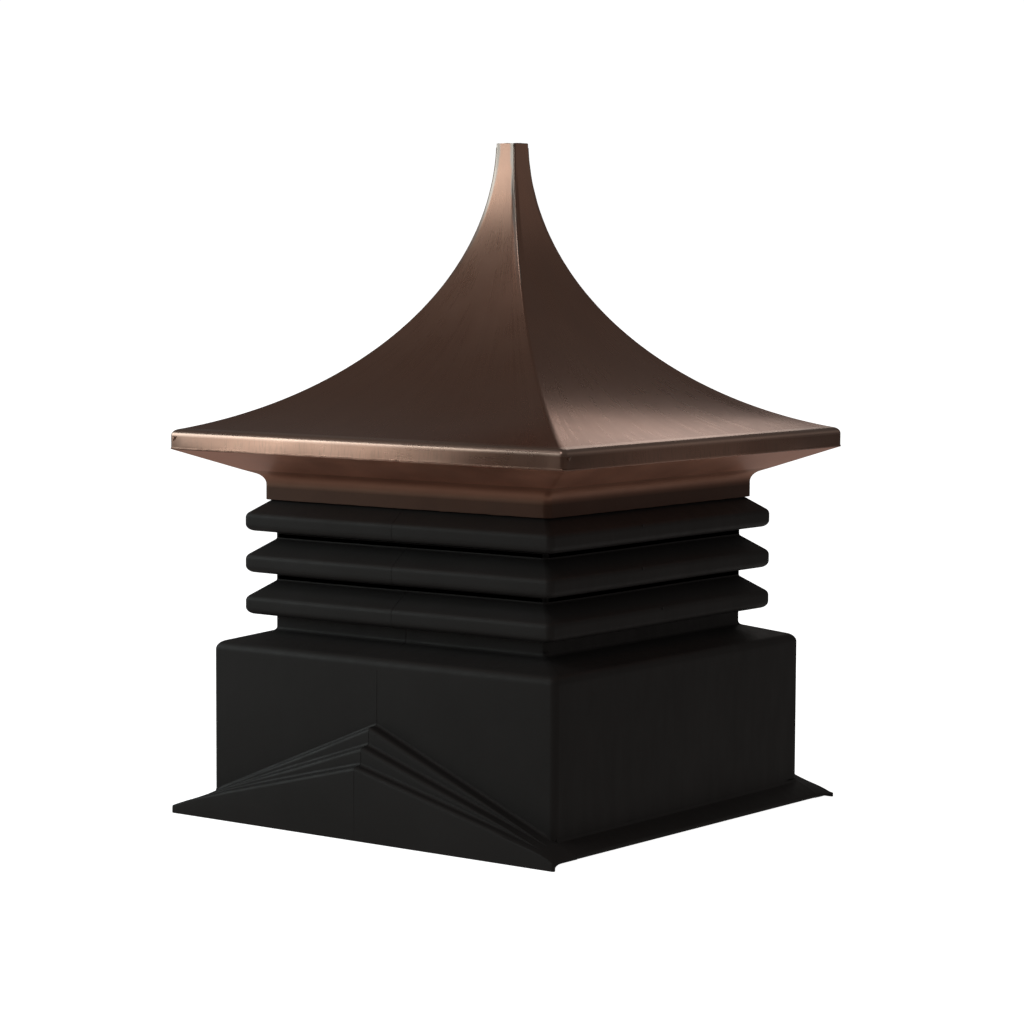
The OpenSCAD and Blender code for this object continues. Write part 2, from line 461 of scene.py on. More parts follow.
def plan_spot(spot, out, corner):
    """Place along and out from the centre of one spot of a side."""
    run, bend = spot
    half = out - corner
    along = run * half + math.copysign(corner * math.sin(bend), run)
    return along, half + corner * math.cos(bend)


def side_rings(side, section, corner, spots, shape=None):
    """Carries a section (out, z) along a side, round both half corners."""
    rings, along = [], []
    for spot in spots:
        ring = []
        for out, z in section:
            u, o = plan_spot(spot, out, corner(out))
            if shape is not None:
                u, o, z = shape(u, o, z, spot)
            ring.append(turned(u, -o, z, side))
        rings.append(ring)
        along.append(plan_spot(spot, section[0][0], corner(section[0][0]))[0])
    return rings, along


def mould_wave(u, o, z, spot):
    """The walls of a large moulding are never dead flat."""
    run, bend = spot
    if abs(run) >= 1:
        return u, o, z
    fade = eased((1 - abs(run)) * 4) * eased((z - WAVE_FROM) / WAVE_RUN)
    wave = noise.noise(Vector((u * 5, z * 7, o * 3)))
    return u, o + wave * WALL_WAVE * fade, z


PEAK_STEP = 0.01
shoulder_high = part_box("front_shoulder")[1]
BASE_CORNER = 8 * MM
SHOULDER_TURN = 10.5 * MM
NECK_OUT = -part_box("front_lower_louvre")[1].y
NECK_IN = NECK_OUT - SKIN
SHOULDER_SLOPE = math.radians(15.6)
SHOULDER_TOP = shoulder_high.z - SKIN * math.tan(SHOULDER_SLOPE)
BASE_TOP = SHOULDER_TOP - (WALL_OUT - NECK_OUT) * math.tan(SHOULDER_SLOPE)
WALL_TOP = BASE_TOP - 12 * MM
SINK = 0.5 * MM


def base_corner(out):
    """The wall's corner, tighter on its inner face."""
    return BASE_CORNER if out == WALL_OUT else BASE_CORNER - SKIN / 2


def gable_wall(u, o, q, spot):
    """A share q of the way up a wall that stands on the saddle's ledge."""
    foot = step_height(RISES[0], u) - SINK
    return mould_wave(u, o, foot + (WALL_TOP - foot) * q, spot)


def eave_wall(u, o, q, spot):
    """A share q of the way up a wall that stands on a flange."""
    foot = FOOT_Z - SINK
    return mould_wave(u, o, foot + (WALL_TOP - foot) * q, spot)


levels = [step / 10 for step in range(11)]
section = [(WALL_OUT, q) for q in levels] + [(WALL_IN, q) for q in reversed(levels)]
spots = side_spots(sorted(set(even(24) + [-PEAK_STEP, PEAK_STEP])))

for side in range(4):
    wall_shape = gable_wall if side % 2 == 0 else eave_wall
    rings, along = side_rings(side, section, base_corner, spots, wall_shape)
    wall = lofted(SIDES[side] + "_base_side", rings, along)
    fitted(wall, plastic, "black_plastic", SIDES[side] + "_base_wall")


# ---- Sloping shoulder ----------------------------------------------------
# The moulding turns in over the base and rises gently to the neck, with a
# large round at the wall and a small cove at the neck.

NECK_CORNER = 5 * MM
NECK_COVE = 5 * MM
UPSTAND = 6 * MM
WIDENS_OVER = 26 * MM
shoulder_under = BASE_TOP - SKIN / math.cos(SHOULDER_SLOPE)
neck_under = SHOULDER_TOP - SKIN / math.cos(SHOULDER_SLOPE)
shoulder_section = rounded([
    (NECK_IN, SHOULDER_TOP), (NECK_OUT - SINK, SHOULDER_TOP),
    (NECK_OUT - SINK, SHOULDER_TOP + UPSTAND), (NECK_OUT, SHOULDER_TOP + UPSTAND),
    (NECK_OUT, SHOULDER_TOP, NECK_COVE), (WALL_OUT, BASE_TOP, SHOULDER_TURN),
    (WALL_OUT, WALL_TOP), (WALL_IN, WALL_TOP),
    (WALL_IN, shoulder_under, NECK_COVE), (NECK_IN, neck_under),
])


def body_corner(out):
    """Corner radius of the moulded body, tighter at the neck."""
    share = min(1.0, max(0.0, (out - NECK_OUT) / WIDENS_OVER))
    return NECK_CORNER + (BASE_CORNER - NECK_CORNER) * share


for side in range(4):
    rings, along = side_rings(side, shoulder_section, body_corner, side_spots(even(24)),
                              mould_wave)
    shoulder = lofted(SIDES[side] + "_sloping_shoulder", rings, along)
    fitted(shoulder, plastic, "black_plastic", SIDES[side] + "_shoulder")


# ---- Neck walls ----------------------------------------------------------
# Upright walls behind the louvres, moulded in one with them, that carry
# the copper roof on their top edge.

neck_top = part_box("front_neck_wall")[1].z
neck_section = [
    (NECK_IN, SHOULDER_TOP), (NECK_OUT, SHOULDER_TOP), (NECK_OUT, neck_top),
    (NECK_IN, neck_top),
]


def neck_corner(out):
    """The neck's corners have one radius inside and out."""
    return NECK_CORNER


for side in range(4):
    rings, along = side_rings(side, neck_section, neck_corner, side_spots(even(8)))
    neck = lofted(SIDES[side] + "_neck_side", rings, along)
    fitted(neck, plastic, "black_plastic", SIDES[side] + "_neck_wall")


# ---- Three courses of louvres --------------------------------------------
# Closed louvres of the same moulding: a sloping top, a nose rounded above
# and below, and a flat underside, with coves where they meet the neck.

LOUVRE_SLOPE = math.radians(36.5)
NOSE_ROUND = 8 * MM
NOSE_OUT = -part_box("front_upper_louvre")[0].y
LOUVRE_COVE = 3 * MM
LOUVRE_UNDER_COVE = 2 * MM
LOUVRE_SAG = 0.35 * MM


def louvre_section(course):
    """Outline of one louvre, out from the neck."""
    low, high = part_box(f"front_{course}_louvre")
    nose_z = high.z - (NOSE_OUT - NECK_OUT) * math.tan(LOUVRE_SLOPE)
    return rounded([
        (NECK_OUT - SINK, high.z + UPSTAND), (NECK_OUT, high.z + UPSTAND),
        (NECK_OUT, high.z, LOUVRE_COVE), (NOSE_OUT, nose_z, NOSE_ROUND),
        (NOSE_OUT, low.z, NOSE_ROUND), (NECK_OUT, low.z, LOUVRE_UNDER_COVE),
        (NECK_OUT, low.z - UPSTAND / 2), (NECK_OUT - SINK, low.z - UPSTAND / 2),
    ])


def louvre_wave(u, o, z, spot):
    """Slight sag and draw of the moulded louvre along its length."""
    run, bend = spot
    if abs(run) >= 1:
        return u, o, z
    fade = eased((1 - abs(run)) * 5)
    return u, o, z + noise.noise(Vector((u * 6, z * 4, 3.7))) * LOUVRE_SAG * fade


for course in ("lower", "middle", "upper"):
    for side in range(4):
        rings, along = side_rings(side, louvre_section(course), body_corner,
                                  side_spots(even(24)), louvre_wave)
        louvre = lofted(f"{SIDES[side]}_{course}_louvre_course", rings, along)
        fitted(louvre, plastic, "black_plastic", f"{SIDES[side]}_{course}_louvre")


# ---- Parting line on the gable sides -------------------------------------
# Where the two halves of the mould meet they leave a fine raised line, up
# the middle of each gable side from the front plate to the frieze.

LINE_R = 0.3 * MM
LEAST_STEP = 0.4 * MM
BEHIND_FRIEZE = 4 * MM
MIDDLE_SPOT = (0, 0)


def line_route():
    """Outer face of the body at its middle, from the plate's foot upward."""
    face = saddle_ring(0)
    wall_foot = step_height(RISES[0], 0) + COVE
    foot_at = max(range(len(face)),
                  key=lambda i: (face[i][0] > PLATE_OUT - MM, -face[i][1]))
    wall_at = min(range(len(face)),
                  key=lambda i: abs(face[i][0] - WALL_OUT) + abs(face[i][1] - wall_foot))
    run = list(reversed(face[wall_at:foot_at + 1]))
    wall_low = run[-1][1] + 2 * MM
    for step in range(13):
        z = wall_low + (WALL_TOP - wall_low) * step / 12
        run.append((mould_wave(0, WALL_OUT, z, MIDDLE_SPOT)[1], z))
    for o, z in reversed(shoulder_section):
        above = z > WALL_TOP + MM and z > shoulder_under + 2 * MM
        if above and o > NECK_OUT - FACES_JOINED and (o > WALL_IN + MM or z > neck_under):
            run.append((mould_wave(0, o, z, MIDDLE_SPOT)[1], z))
    line_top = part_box("front_frieze")[0].z + BEHIND_FRIEZE
    for course in ("lower", "middle", "upper"):
        for o, z in reversed(louvre_section(course)):
            if o > NECK_OUT - FACES_JOINED and z < line_top:
                run.append((o, louvre_wave(0, o, z, MIDDLE_SPOT)[2]))
    clean = [run[0]]
    for spot in run[1:]:
        if math.dist(spot, clean[-1]) > LEAST_STEP:
            clean.append(spot)
    return clean


clean = line_route()

for side in (0, 2):
    rings, along, travelled = [], [], 0.0
    for i, (o, z) in enumerate(clean):
        before, after = clean[max(0, i - 1)], clean[min(len(clean) - 1, i + 1)]
        way = Vector((after[0] - before[0], after[1] - before[1])).normalized()
        normal = Vector((way.y, -way.x))
        if i:
            travelled += math.dist(clean[i - 1], clean[i])
        radius = LINE_R * (1 + 0.35 * noise.noise(Vector((travelled * 60, side, 0))))
        ring = []
        for step in range(6):
            angle = math.tau * step / 6
            out = o + normal.x * radius * math.cos(angle)
            height = z + normal.y * radius * math.cos(angle)
            ring.append(turned(radius * math.sin(angle), -out, height, side))
        rings.append(ring)
        along.append(travelled)
    line = lofted(SIDES[side] + "_parting_line", rings, along)
    fitted(line, plastic, "black_plastic")


# ---- Ejector marks on the right side's louvres ---------------------------
# Three shallow round marks left on the noses of the louvres, where pins
# pressed the moulding out of its mould.

MARK_R = 1.7 * MM
MARK_UP = 19.5 * MM
marks = ((-48 * MM, "upper"), (-47 * MM, "middle"), (-7 * MM, "lower"))

for number, (u, course) in enumerate(marks):
    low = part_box(f"right_{course}_louvre")[0]
    z = low.z + MARK_UP
    rings = []
    for reach, proud in ((1.0, -0.3), (1.0, 0.12), (0.8, 0.3), (0.5, 0.2), (0.15, 0.1)):
        ring = []
        for step in range(20):
            angle = math.tau * step / 20
            across = u + MARK_R * reach * math.cos(angle)
            height = z + MARK_R * reach * math.sin(angle)
            ring.append(turned(across, -(NOSE_OUT + proud * MM), height, 1))
        rings.append(ring)
    mark = lofted(f"ejector_mark_{number + 1}", rings, [0, 1, 2, 3, 4])
    fitted(mark, plastic, "black_plastic")


# ---- Copper frieze round the top of the neck -----------------------------
# A band of thin copper sheet bent round the top of the moulded neck, hemmed
# at its lower edge and turned out into the soffit above.

SHEET = 1.5 * MM
HEM_ROUND = 0.6 * MM
frieze_low, frieze_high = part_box("front_frieze")
FRIEZE_OUT = -frieze_low.y
EAVE_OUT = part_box("right_fascia")[1].x
FASCIA_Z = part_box("front_fascia")[0].z
SOFFIT_RISE = (FASCIA_Z + 0.3 * MM - frieze_high.z) / (EAVE_OUT - FRIEZE_OUT)
TURN_OUT = 18 * MM
FRIEZE_BEND = 14 * MM


def patinated_copper(name, hue=1.0, streak=(26, 700, 1), cloud=5.0):
    """Satin brushed copper, lightly browned, with smudges and fine specks."""
    material, tree, shader = new_finish(name)
    smudge = grain(tree, cloud, 4)
    fine_smudge = grain(tree, 34, 5, (1, 1, 0.6))
    brushed = grain(tree, 1, 3, streak, "UV", 0.6)
    broad = grain(tree, 1, 3, tuple(s * 0.22 for s in streak), "UV", 0.6)
    speck = grain(tree, 520, 1)
    tone = blended(tree, spread(tree, smudge, 0, 1), (0.50 * hue, 0.25 * hue, 0.168 * hue),
                   (0.61 * hue, 0.335 * hue, 0.24 * hue))
    tone = blended(tree, spread(tree, fine_smudge, 0, 0.5), tone,
                   (0.50 * hue, 0.285 * hue, 0.21 * hue))
    tone = blended(tree, spread(tree, brushed, 0, 0.14, 0.2, 0.8), tone,
                   (0.66 * hue, 0.38 * hue, 0.28 * hue))
    tone = blended(tree, spread(tree, speck, 0, 0.7, 0.76, 0.82), tone, (0.09, 0.06, 0.05))
    rough = blended(tree, spread(tree, broad, 0, 1), (0.23, 0.23, 0.23), (0.30, 0.30, 0.30))
    rough = blended(tree, spread(tree, fine_smudge, 0, 0.6, 0.25, 0.75), rough,
                    (0.34, 0.34, 0.34))
    tree.links.new(rough, shader.inputs["Roughness"])
    shader.inputs["Metallic"].default_value = 1.0
    shader.inputs["Coat Weight"].default_value = 0.3
    shader.inputs["Coat Roughness"].default_value = 0.3
    bumped(tree, shader, (brushed, 0.04, 0.00006), (fine_smudge, 0.08, 0.0004))
    return material, tree, shader, tone


def dulled(tree, shader):
    """Handled, unpolished copper: a rougher face with soft clouds."""
    for link in shader.inputs["Roughness"].links:
        tree.links.remove(link)
    tree.links.new(spread(tree, grain(tree, 20, 4), 0.5, 0.62), shader.inputs["Roughness"])


def measured(tree, map_name):
    """The lengths of a map, one by one, in metres."""
    place = tree.nodes.new("ShaderNodeTexCoord")
    parts = tree.nodes.new("ShaderNodeSeparateXYZ")
    tree.links.new(place.outputs[map_name], parts.inputs["Vector"])
    return parts.outputs


# The band's copper is darkened to a fifth of the roof's tone: partly a browned tone of its
# own, partly painted shade for the shadow under the eave.
band_copper, tree, shader, tone = patinated_copper("browned_copper_band_painted_shade", 0.2, (700, 26, 1))
# Painted shade: the darkening fades out over the top 13 mm, where the band turns into the
# soffit, so the band is lighter towards its top.
shade_fading_upward = spread(tree, measured(tree, "Object")["Z"], 0, 0.85,
                    frieze_high.z - 13 * MM, frieze_high.z + 2 * MM)
tone = blended(tree, shade_fading_upward, tone, (0.62, 0.31, 0.205))
tree.links.new(tone, shader.inputs["Base Color"])
shader.inputs["Coat Weight"].default_value = 0.1
dulled(tree, shader)
frieze_section = rounded([
    (FRIEZE_OUT, frieze_low.z, HEM_ROUND), (FRIEZE_OUT, frieze_high.z, FRIEZE_BEND),
    (FRIEZE_OUT + TURN_OUT, frieze_high.z + TURN_OUT * SOFFIT_RISE),
    (FRIEZE_OUT + TURN_OUT - HEM_ROUND, frieze_high.z + TURN_OUT * SOFFIT_RISE + SHEET),
    (FRIEZE_OUT - SHEET, frieze_high.z + SHEET * 0.8, FRIEZE_BEND + SHEET),
    (FRIEZE_OUT - SHEET, frieze_low.z, HEM_ROUND),
])


def band_corner(out):
    """The band's corners are bent, and tighten towards the soffit."""
    return (8 - 5 * eased((out - FRIEZE_OUT) / TURN_OUT)) * MM


def hand_bent(u, o, z, spot):
    """Hand-worked sheet wanders a little along its length."""
    run, bend = spot
    fade = eased((1 - abs(run)) * 6)
    edge = eased((frieze_low.z + 6 * MM - z) / (6 * MM))
    waver = noise.noise(Vector((u * 9, o * 4, 1.5)))
    ripple = noise.noise(Vector((u * 60, o * 9, 5.5)))
    return u, o + waver * 0.4 * MM * fade, z + ripple * 0.35 * MM * edge * fade


for side in range(4):
    rings, along = side_rings(side, frieze_section, band_corner, side_spots(even(60)),
                              hand_bent)
    frieze = lofted(SIDES[side] + "_copper_frieze", rings, along)
    fitted(frieze, band_copper, "copper", SIDES[side] + "_frieze")


# ---- Copper soffit -------------------------------------------------------
# Four flat copper sheets that rise from the frieze to the back of the
# fascia, mitred and soldered where they meet under the corners.

soffit_start = FRIEZE_OUT + TURN_OUT
soffit_z = frieze_high.z + TURN_OUT * SOFFIT_RISE
# The soffit's copper tone is 1.3 times the roof's: painted light lifting the shaded underside
# of the eave.
soffit_copper, tree, shader, tone = patinated_copper("browned_copper_soffit_painted_light", 1.3,
                                                     (26, 500, 1))
dulled(tree, shader)
tone = blended(tree, spread(tree, grain(tree, 8, 3), 0.8, 1), tone, (1, 0.88, 0.82),
               "MULTIPLY")
tree.links.new(tone, shader.inputs["Base Color"])
SOFFIT_STEPS = 8
SOFFIT_HOLLOW = 1.2 * MM
SOFFIT_CORNER = 3 * MM
soffit_run = EAVE_OUT - 1.4 * MM - soffit_start
soffit_outs = [soffit_run * step / SOFFIT_STEPS for step in range(SOFFIT_STEPS + 1)]
soffit_section = [(soffit_start + out, soffit_z + out * SOFFIT_RISE) for out in soffit_outs]
soffit_section += [(o - HEM_ROUND, z + SHEET) for o, z in reversed(soffit_section)]


def soffit_corner(out):
    """The soffit's mitred corners are hardly rounded."""
    return SOFFIT_CORNER


def soffit_wave(u, o, z, spot):
    """A large flat sheet is a little hollow between its edges."""
    run, bend = spot
    if abs(run) >= 1:
        return u, o, z
    across = (o - soffit_start) / (EAVE_OUT - soffit_start)
    fade = eased((1 - abs(run)) * 5) * math.sin(math.pi * min(1, max(0, across)))
    return u, o, z + noise.noise(Vector((u * 7, o * 7, 8.2))) * SOFFIT_HOLLOW * fade


for side in range(4):
    rings, along = side_rings(side, soffit_section, soffit_corner, side_spots(even(40)),
                              soffit_wave)
    soffit = lofted(SIDES[side] + "_copper_soffit", rings, along)
    fitted(soffit, soffit_copper, "copper", SIDES[side] + "_soffit")


# ---- Copper fascia -------------------------------------------------------
# The roof sheets turn down over the eave in a soft roll to a narrow upright
# fascia, whose lower edge is crimped by hand over the soffit.

SWEEP_R = 347 * MM
FASCIA_H = 21.6 * MM
NECK_HALF = -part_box("front_roof_panel")[1].y + SHEET
SWEEP_OUT = NECK_HALF + SWEEP_R
EAVE_Z = FASCIA_Z + FASCIA_H
SWEEP_Z = EAVE_Z + math.sqrt(SWEEP_R ** 2 - (SWEEP_OUT - EAVE_OUT) ** 2)
ROLL_START = EAVE_OUT - 11 * MM
ROLL_R = 7.5 * MM
FASCIA_CORNER = 5.5 * MM
LEAN_OUT = math.tan(math.radians(3.5))
LEAN_IN = math.tan(math.radians(-2))


def sweep_height(out, radius=SWEEP_R):
    """Height of the roof's swept face at a distance out."""
    return SWEEP_Z - math.sqrt(max(0.0, radius ** 2 - (SWEEP_OUT - out) ** 2))


fascia_copper, tree, shader, tone = patinated_copper("brushed_copper_fascia", 1.0,
                                                     (60, 500, 1), 9.0)
hatch = grain(tree, 1, 2, (420, 60, 1), "UV")
tone = blended(tree, spread(tree, hatch, 0, 0.45, 0.5, 0.75), tone, (0.30, 0.19, 0.14))
# Each side's fascia is darkened along its length: from 4 cm to 20 cm out on one side of its
# middle and beyond, and from 13 cm out at the other end. This is painted shade where the left
# light falls off, the same on all four sides.
along_edge = measured(tree, "UV")["X"]
tone = blended(tree, spread(tree, along_edge, 0, 0.72, 0.04, 0.2), tone,
               (0.14, 0.075, 0.052))
tone = blended(tree, spread(tree, along_edge, 0.75, 0, -0.26, -0.13), tone,
               (0.19, 0.11, 0.08))
# Painted highlight: the roll along the top of the fascia gets a lighter copper tone, standing
# in for the light it catches.
painted_roll_highlight = spread(tree, measured(tree, "Object")["Z"], 0, 0.6, EAVE_Z - 7 * MM,
                   EAVE_Z - 3 * MM)
tone = blended(tree, painted_roll_highlight, tone, (0.9, 0.62, 0.5))
tree.links.new(tone, shader.inputs["Base Color"])

fascia_section = rounded([
    (ROLL_START, sweep_height(ROLL_START)),
    (EAVE_OUT, sweep_height(EAVE_OUT), ROLL_R), (EAVE_OUT, FASCIA_Z + 5 * MM),
    (EAVE_OUT, FASCIA_Z + 2.2 * MM, 0.8 * MM),
    (EAVE_OUT + 0.5 * MM, FASCIA_Z + 1.2 * MM, 0.3 * MM),
    (EAVE_OUT + 0.3 * MM, FASCIA_Z, 0.5 * MM), (EAVE_OUT - 2.2 * MM, FASCIA_Z, 0.5 * MM),
    (EAVE_OUT - SHEET, FASCIA_Z + 3.5 * MM, 0.5 * MM),
    (EAVE_OUT - SHEET, sweep_height(EAVE_OUT) - SHEET, ROLL_R - SHEET),
    (ROLL_START, sweep_height(ROLL_START) - SHEET),
])


def fascia_shape(u, o, z, spot):
    """Wavering roll, and a rough crimp along the lower edge."""
    run, bend = spot
    fade = eased((1 - abs(run)) * 12)
    crimp = eased((FASCIA_Z + 5 * MM - z) / (5 * MM))
    waver = noise.noise(Vector((u * 11, o * 2, 0.4))) * 0.5 * MM * fade
    rough = noise.noise(Vector((u * 130, o * 5, 7.3)))
    rough += noise.noise(Vector((u * 400, o * 5, 2.3))) * 0.6
    face = eased((o - EAVE_OUT + 9 * MM) / (7 * MM))
    down = max(0.0, EAVE_Z - 5 * MM - z) * face
    lean = LEAN_OUT + (LEAN_IN - LEAN_OUT) * eased((u - 60 * MM) / (150 * MM))
    o += down * lean * fade
    return u, o + waver * face * (1 - crimp), z + rough * 0.45 * MM * crimp * fade


def fascia_corner(out):
    """The fascia is bent round each corner to a soft edge."""
    return FASCIA_CORNER


for side in range(4):
    rings, along = side_rings(side, fascia_section, fascia_corner, side_spots(even(240)),
                              fascia_shape)
    fascia = lofted(SIDES[side] + "_copper_fascia", rings, along)
    fitted(fascia, fascia_copper, "copper", SIDES[side] + "_fascia")


# ---- Corner laps of the fascia -------------------------------------------
# At each corner the fascia of one side is notched and lapped over the next
# and soldered: a small folded triangle shows at the top.

LAP_IN = 6 * MM
LAP_UP = 9.3 * MM
lap_outline = ((0, 5.5), (5.2, 6.2), (3.2, 2.6), (1, 0.4))
LAP_MIDDLE = 3.7

for corner_side in range(4):
    side = (corner_side + 1) % 4
    rings = []
    for scale, proud in ((1.0, -0.6), (1.0, 0.15), (0.8, 0.5), (0.3, 0.62)):
        ring = []
        for x, z in lap_outline:
            along_side = LAP_IN - EAVE_OUT + x * scale * 1.25 * MM
            height = FASCIA_Z + LAP_UP + (LAP_MIDDLE + (z - LAP_MIDDLE) * scale) * 0.95 * MM
            ring.append(turned(along_side, -(EAVE_OUT + proud * MM), height, side))
        rings.append(ring)
    lap = lofted(f"corner_lap_{SIDES[side]}", rings, [0, 1, 2, 3])
    fitted(lap, fascia_copper, "copper")


# ---- Swept roof sheets ---------------------------------------------------
# Four copper sheets with one hollow sweep, from the flat eave up to the
# narrow square neck, cut to a point-like taper and soldered at the hips.

ROOF_TOP = cad_high.z
HIP_TIGHT = 2.2 * MM
NECK_CUT = 0.55 * MM


def hip_corner(out):
    """The hips are crisp at the neck and soften towards the eave."""
    return HIP_TIGHT + (FASCIA_CORNER - HIP_TIGHT) * eased((out - NECK_HALF) / EAVE_OUT)


roof_copper, tree, shader, tone = patinated_copper("brushed_copper_roof", 1.0,
                                                   (420, 16, 1), 4.5)
near_hip = tree.nodes.new("ShaderNodeAttribute")
near_hip.attribute_name = "hip_gap"
wander = grain(tree, 40, 3)
gap = tree.nodes.new("ShaderNodeMath")
gap.operation = "ADD"
tree.links.new(near_hip.outputs["Fac"], gap.inputs[0])
tree.links.new(spread(tree, wander, -0.0012, 0.0012), gap.inputs[1])
band = spread(tree, gap.outputs["Value"], 0.75, 0, 0.0042, 0.0068)
high = spread(tree, measured(tree, "Object")["Z"], 0, 1, 0.60, 0.70)
solder = tree.nodes.new("ShaderNodeMath")
solder.operation = "MULTIPLY"
tree.links.new(band, solder.inputs[0])
tree.links.new(high, solder.inputs[1])
tone = blended(tree, solder.outputs["Value"], tone, (0.36, 0.33, 0.30))
tree.links.new(tone, shader.inputs["Base Color"])

SWEEP_STEPS = 90
levels = []
steep = math.acos((SWEEP_OUT - ROLL_START) / SWEEP_R)
for step in range(SWEEP_STEPS + 1):
    angle = steep * (1 - step / SWEEP_STEPS)
    levels.append((SWEEP_OUT - SWEEP_R * math.cos(angle),
                   SWEEP_Z - SWEEP_R * math.sin(angle)))
levels = [(o, z) for o, z in levels if z < ROOF_TOP - 0.5 * MM]
levels.append((NECK_HALF, ROOF_TOP))
inner = [(o - SHEET * (SWEEP_OUT - o) / SWEEP_R,
          z - SHEET * (SWEEP_Z - z) / SWEEP_R) for o, z in reversed(levels)]
inner[0] = (NECK_HALF - SHEET, ROOF_TOP)
roof_section = levels + inner


def roof_shape(u, o, z, spot):
    """Soft dents along the sheet's face, and an unevenly cut neck."""
    run, bend = spot
    fade = eased((1 - abs(run)) * 5) if abs(run) < 1 else 0.0
    fade *= eased((z - sweep_height(ROLL_START)) / (14 * MM)) * eased((ROOF_TOP - z) / 0.08)
    slope = (SWEEP_OUT - o) / SWEEP_R
    dent = noise.noise(Vector((u * 5.5, z * 6.5, o * 3))) * 1.1 * MM
    dent += noise.noise(Vector((u * 16, z * 18, o * 9))) * 0.22 * MM
    o -= dent * fade * slope
    z -= dent * fade * (1 - slope)
    if z > ROOF_TOP - 1.5 * MM:
        cut = noise.noise(Vector((u * 190, o * 190, side * 3.1)))
        z -= NECK_CUT * (1 + cut)
    return u, o, z


for side in range(4):
    spots = side_spots(even(48))
    rings, along = side_rings(side, roof_section, hip_corner, spots, roof_shape)
    panel = lofted(SIDES[side] + "_swept_sheet", rings, along)
    gap_values = panel.data.attributes.new("hip_gap", "FLOAT", "POINT")
    for vertex in panel.data.vertices:
        flat = turned(vertex.co.x, vertex.co.y, 0, (4 - side) % 4)
        on_gable = 0 if side % 2 == 0 else 0.02
        gap_values.data[vertex.index].value = -flat.y - abs(flat.x) + on_gable
    fitted(panel, roof_copper, "copper", SIDES[side] + "_roof_panel")


# ---- Soldered hips -------------------------------------------------------
# A thin bead of solder and copper dressed down along each hip, from the
# neck's cut top down the upper hip, where it dies into the sheet above the eave.

BEAD_R = 0.75 * MM
hip_solder, tree, shader = new_finish("dressed_hip_solder")
tarnish = grain(tree, 46, 4)
file_marks = grain(tree, 900, 2)
tone = blended(tree, spread(tree, tarnish, 0, 1), (0.48, 0.27, 0.20), (0.40, 0.32, 0.27))
tree.links.new(tone, shader.inputs["Base Color"])
tree.links.new(spread(tree, file_marks, 0.36, 0.5), shader.inputs["Roughness"])
shader.inputs["Metallic"].default_value = 1.0
bumped(tree, shader, (tarnish, 0.3, 0.0003), (file_marks, 0.2, 0.0001))

BEAD_FROM = 0.50
BEAD_FADE = 0.10
BEAD_SINK = 0.2 * MM
ROOT_TWO = math.sqrt(2)

spots = []
for o, z in levels:
    if BEAD_FROM < z < ROOF_TOP - 1.2 * MM:
        spots.append(Vector((o - hip_corner(o) * (1 - 1 / ROOT_TWO), z)))

for corner_side in range(4):
    rings, along, travelled = [], [], 0.0
    for i, spot in enumerate(spots):
        before, after = spots[max(0, i - 1)], spots[min(len(spots) - 1, i + 1)]
        way = Vector(((after.x - before.x) * ROOT_TWO, after.y - before.y)).normalized()
        travelled += (spot - before).length
        uneven = 1 + 0.3 * noise.noise(Vector((travelled * 70, corner_side, 0)))
        radius = max(0.05 * MM, BEAD_R * eased((spot.y - BEAD_FROM) / BEAD_FADE) * uneven)
        ring = []
        for step in range(8):
            angle = math.tau * step / 8
            out = spot.x * ROOT_TWO - BEAD_SINK + way.y * radius * math.cos(angle)
            height = spot.y + way.x * radius * math.cos(angle)
            aside = radius * math.sin(angle)
            ring.append(turned((out + aside) / ROOT_TWO, (aside - out) / ROOT_TWO, height,
                               corner_side))
        rings.append(ring)
        along.append(travelled)
    bead = lofted(f"hip_bead_{SIDES[corner_side]}", rings, along)
    fitted(bead, hip_solder, "copper")


# ---- Cut rim of the neck -------------------------------------------------
# The open top of the neck is cut with snips and tinned: a thin, uneven
# greyish line of solder runs round it.

RIM_R = 0.7 * MM
tinned, tree, shader = new_finish("tinned_neck_rim")
spotted = grain(tree, 180, 4)
tone = blended(tree, spread(tree, spotted, 0, 1), (0.34, 0.27, 0.23), (0.58, 0.53, 0.48))
tree.links.new(tone, shader.inputs["Base Color"])
tree.links.new(spread(tree, spotted, 0.35, 0.6), shader.inputs["Roughness"])
shader.inputs["Metallic"].default_value = 1.0
bumped(tree, shader, (spotted, 0.4, 0.0004))

rim_path = []
for side in range(4):
    for spot in side_spots(even(14)):
        u, o = plan_spot(spot, NECK_HALF - SHEET / 2, hip_corner(NECK_HALF))
        rim_path.append(turned(u, -o, 0, side))
clean = [rim_path[0]]
for point in rim_path[1:]:
    if (point - clean[-1]).length > 0.5 * MM and (point - clean[0]).length > 0.5 * MM:
        clean.append(point)
rings, along, travelled = [], [], 0.0
for i, point in enumerate(clean):
    before, after = clean[i - 1], clean[(i + 1) % len(clean)]
    way = (after - before).normalized()
    across = Vector((way.y, -way.x, 0))
    travelled += (point - before).length if i else 0
    radius = RIM_R * (1 + 0.35 * noise.noise(point * 240))
    level = ROOF_TOP - RIM_R - (0.25 + 0.5 * noise.noise(point * 110)) * MM
    ring = []
    for step in range(8):
        angle = math.tau * step / 8
        ring.append(Vector((point.x, point.y, level)) + across * radius * math.cos(angle)
                    + Vector((0, 0, radius * math.sin(angle))))
    rings.append(ring)
    along.append(travelled)
rim = lofted("tinned_neck_rim", rings, along + [travelled], closed_path=True)
fitted(rim, tinned, "copper")


# ---- Studio: floor, light and camera -------------------------------------
# A plain pale floor, a large soft light at the left, weak ones in front, at
# the right and behind, and a long lens a little above the louvres.

